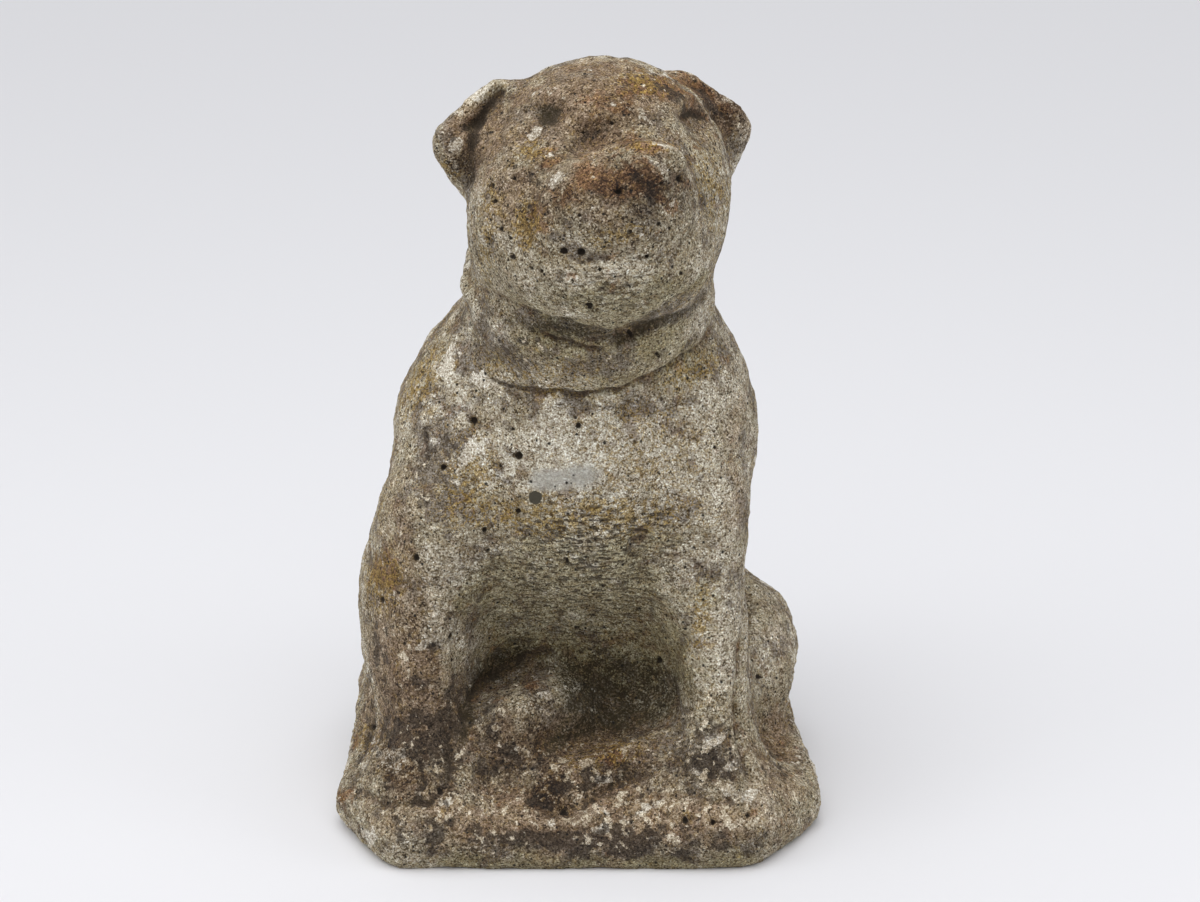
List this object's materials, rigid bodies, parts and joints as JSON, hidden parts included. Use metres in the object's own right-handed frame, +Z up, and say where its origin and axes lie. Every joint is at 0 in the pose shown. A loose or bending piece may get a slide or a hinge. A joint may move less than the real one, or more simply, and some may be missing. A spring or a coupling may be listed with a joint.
{
  "type": "bulldog garden statue",
  "caption": "Seated bulldog in weathered cast stone, wearing a broad collar, its head raised and turned, in one piece with a low rough plinth that it stands on.",
  "frame": {"origin": "middle of the underside, on the ground", "axes": "+Z up, the dog's chest and forepaws face -Y, and +X is to the dog's left, where its head turns"},
  "size_m": [0.2554, 0.2514, 0.4018],
  "materials": {
    "weathered_stone": "reconstituted stone, cast, worn open to its sand grain and air holes, with soot, rust stains and pale and orange lichen"
  },
  "bodies": {
    "root": {"bulldog_on_plinth": "weathered_stone"}
  },
  "joints": []
}
